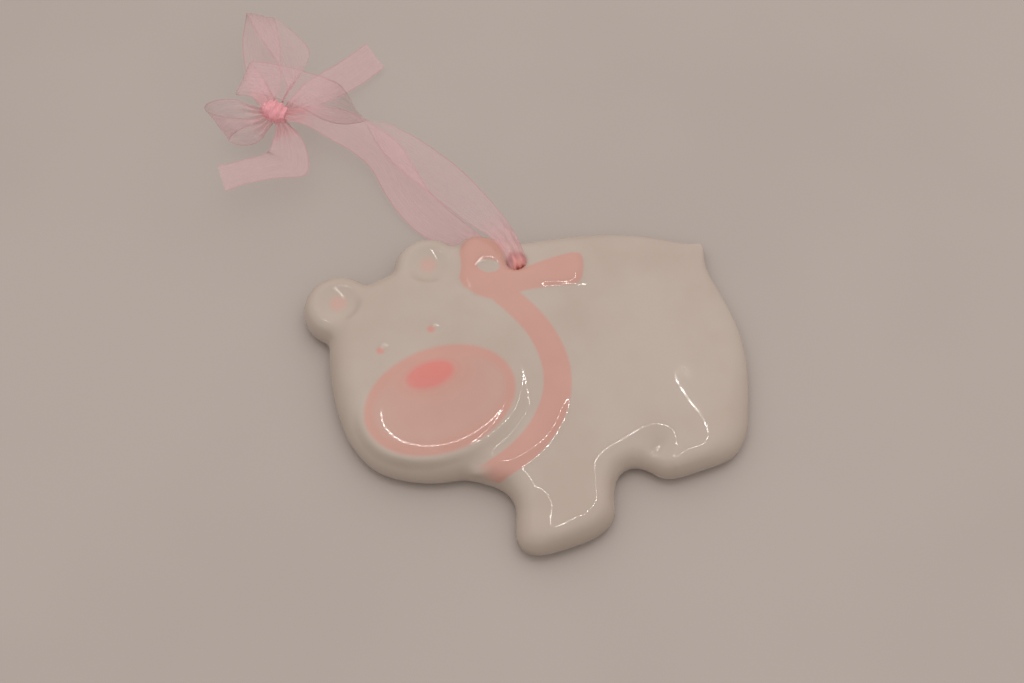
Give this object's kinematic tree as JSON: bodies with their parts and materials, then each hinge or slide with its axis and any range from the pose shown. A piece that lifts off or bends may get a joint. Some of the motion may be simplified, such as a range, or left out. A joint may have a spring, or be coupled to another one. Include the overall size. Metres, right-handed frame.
{
  "type": "polar bear hanging ornament",
  "caption": "Glazed ceramic plaque in the shape of a standing polar bear with a pink muzzle and neck bow, hung on a sheer ribbon that is tied in a bow.",
  "frame": {"origin": "on the plaque's flat back, under the middle of the bear", "axes": "+X towards the bear's rump, +Y up the standing bear, +Z out of the decorated face"},
  "size_m": [0.1033, 0.1721, 0.0165],
  "materials": {
    "white_glaze": "warm white gloss glaze",
    "pink_glaze": "soft pink under a clear gloss glaze",
    "coral_glaze": "coral pink under a clear gloss glaze",
    "blush_glaze": "pale blush under a clear gloss glaze",
    "organza": "sheer pink woven ribbon with denser selvedges"
  },
  "bodies": {
    "bear": {"bear_casting": "white_glaze", "muzzle": "pink_glaze", "nose": "coral_glaze", "left_eye": "coral_glaze", "right_eye": "coral_glaze", "left_ear_centre": "blush_glaze", "right_ear_centre": "blush_glaze", "neck_band": "pink_glaze", "neck_bow": "pink_glaze"},
    "ribbon": {"ribbon_front_strand": "organza", "ribbon_rear_strand": "organza", "ribbon_knot": "organza", "bow_loop_upper": "organza", "bow_loop_left": "organza", "bow_tail_right": "organza", "bow_tail_lower": "organza"}
  },
  "joints": [
    {"name": "ribbon_swing", "type": "hinge", "parent": "bear", "child": "ribbon", "pos_m": [0.0063, 0.0253, 0], "axis": [0, 0, 1], "range_deg": [-50, 5]}
  ]
}
